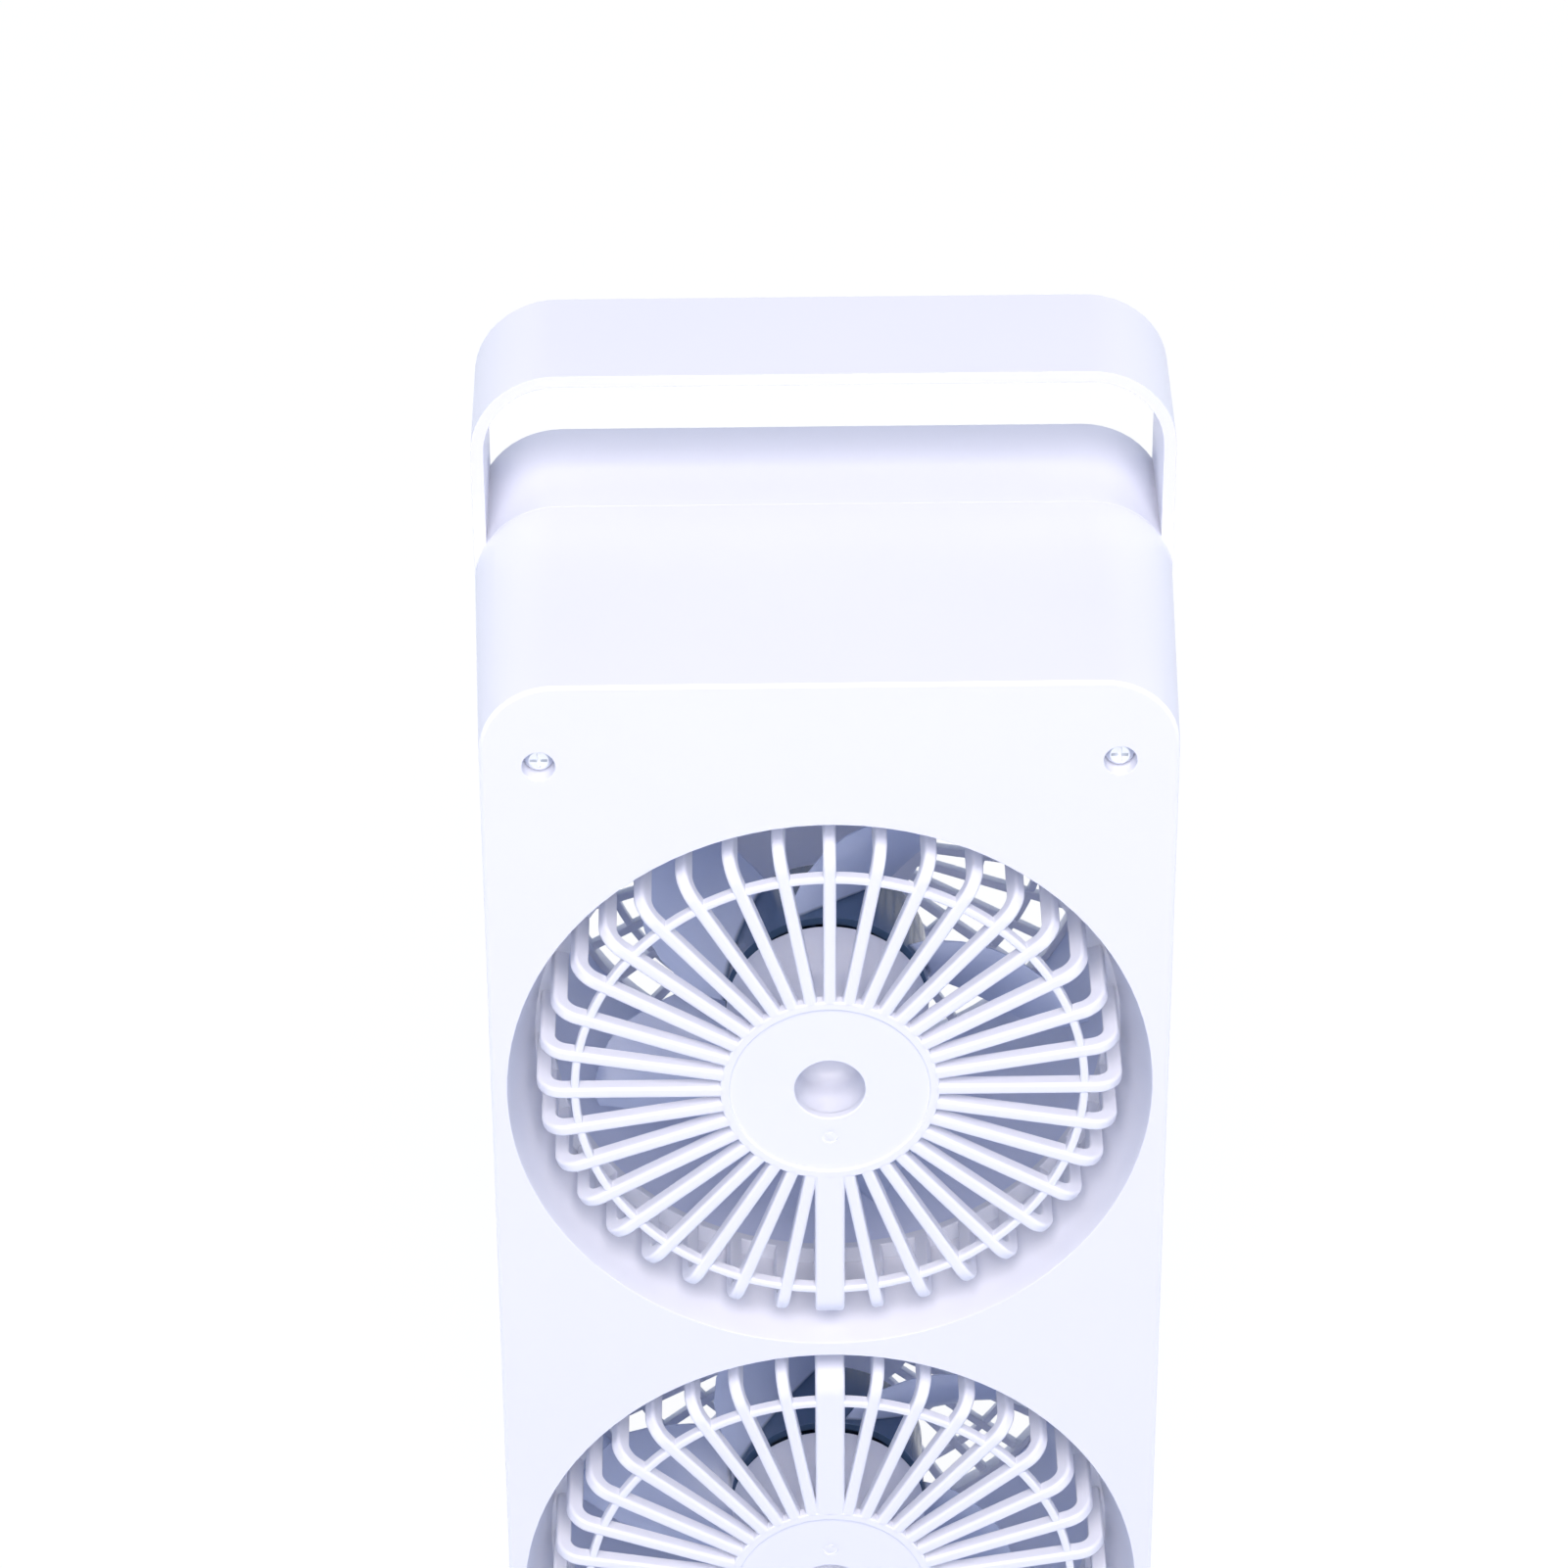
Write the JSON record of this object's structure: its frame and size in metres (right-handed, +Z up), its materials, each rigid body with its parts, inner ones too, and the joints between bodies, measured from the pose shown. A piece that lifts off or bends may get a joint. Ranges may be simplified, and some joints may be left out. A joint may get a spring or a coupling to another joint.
{
  "type": "dual-head desk fan",
  "caption": "Tall desk fan with two fans stacked in a rounded white box, radial rib grilles, a strap handle on top, push buttons and rubber feet.",
  "frame": {"origin": "middle of the footprint, on the surface that the feet stand on", "axes": "+Z up; +Y is the way the air leaves; the intake face with the case screws looks along -Y; +X to the right when looking at the intake face"},
  "size_m": [0.1346, 0.0908, 0.3489],
  "materials": {
    "white_abs": "fine satin moulding texture",
    "grille_abs": "satin moulded ribs",
    "impeller_plastic": "glossy, faintly blue grey",
    "motor_steel": "zinc plated, drawn",
    "end_cap_plastic": "natural nylon",
    "bush_brass": "sintered",
    "shaft_steel": "ground",
    "rotor_core": "laminated and varnished",
    "screw_steel": "zinc plated",
    "board_laminate": "solder-masked laminate",
    "switch_black": "moulded",
    "button_abs": "satin",
    "lens_clear": "clear moulded light guide",
    "socket_steel": "nickel plated",
    "lead_red": "extruded sleeve",
    "lead_black": "extruded sleeve",
    "foot_rubber": "matt"
  },
  "bodies": {
    "case": {"rear_housing": "white_abs", "front_housing": "white_abs", "case_screws": "screw_steel", "upper_rear_grille": "grille_abs", "lower_rear_grille": "grille_abs", "upper_front_grille": "grille_abs", "lower_front_grille": "grille_abs", "upper_fan_shroud": "white_abs", "lower_fan_shroud": "white_abs", "upper_motor_can": "motor_steel", "lower_motor_can": "motor_steel", "upper_motor_end_cap": "end_cap_plastic", "lower_motor_end_cap": "end_cap_plastic", "upper_motor_bush": "bush_brass", "lower_motor_bush": "bush_brass", "control_board": "board_laminate", "board_screws": "screw_steel", "push_switches": "switch_black", "indicator_lens": "lens_clear", "power_board": "board_laminate", "power_socket": "socket_steel", "socket_tongue": "switch_black", "rubber_feet": "foot_rubber", "upper_red_lead": "lead_red", "upper_black_lead": "lead_black", "lower_red_lead": "lead_red", "lower_black_lead": "lead_black", "supply_red_lead": "lead_red", "supply_black_lead": "lead_black"},
    "upper_fan": {"upper_impeller": "impeller_plastic", "upper_motor_shaft": "shaft_steel", "upper_motor_rotor": "rotor_core"},
    "lower_fan": {"lower_impeller": "impeller_plastic", "lower_motor_shaft": "shaft_steel", "lower_motor_rotor": "rotor_core"},
    "upper_button": {"upper_fan_button": "button_abs"},
    "lower_button": {"lower_fan_button": "button_abs"}
  },
  "joints": [
    {"name": "upper_fan_spin", "type": "hinge", "parent": "case", "child": "upper_fan", "pos_m": [0, -0.0094, 0.2246], "axis": [0, 1, 0], "continuous": true},
    {"name": "lower_fan_spin", "type": "hinge", "parent": "case", "child": "lower_fan", "pos_m": [0, -0.0094, 0.0976], "axis": [0, 1, 0], "continuous": true},
    {"name": "upper_button_press", "type": "slide", "parent": "case", "child": "upper_button", "axis": [0, -1, 0], "range_m": [0, 0.0008], "stiffness_N_per_m": 1200},
    {"name": "lower_button_press", "type": "slide", "parent": "case", "child": "lower_button", "axis": [0, -1, 0], "range_m": [0, 0.0008], "stiffness_N_per_m": 1200}
  ]
}
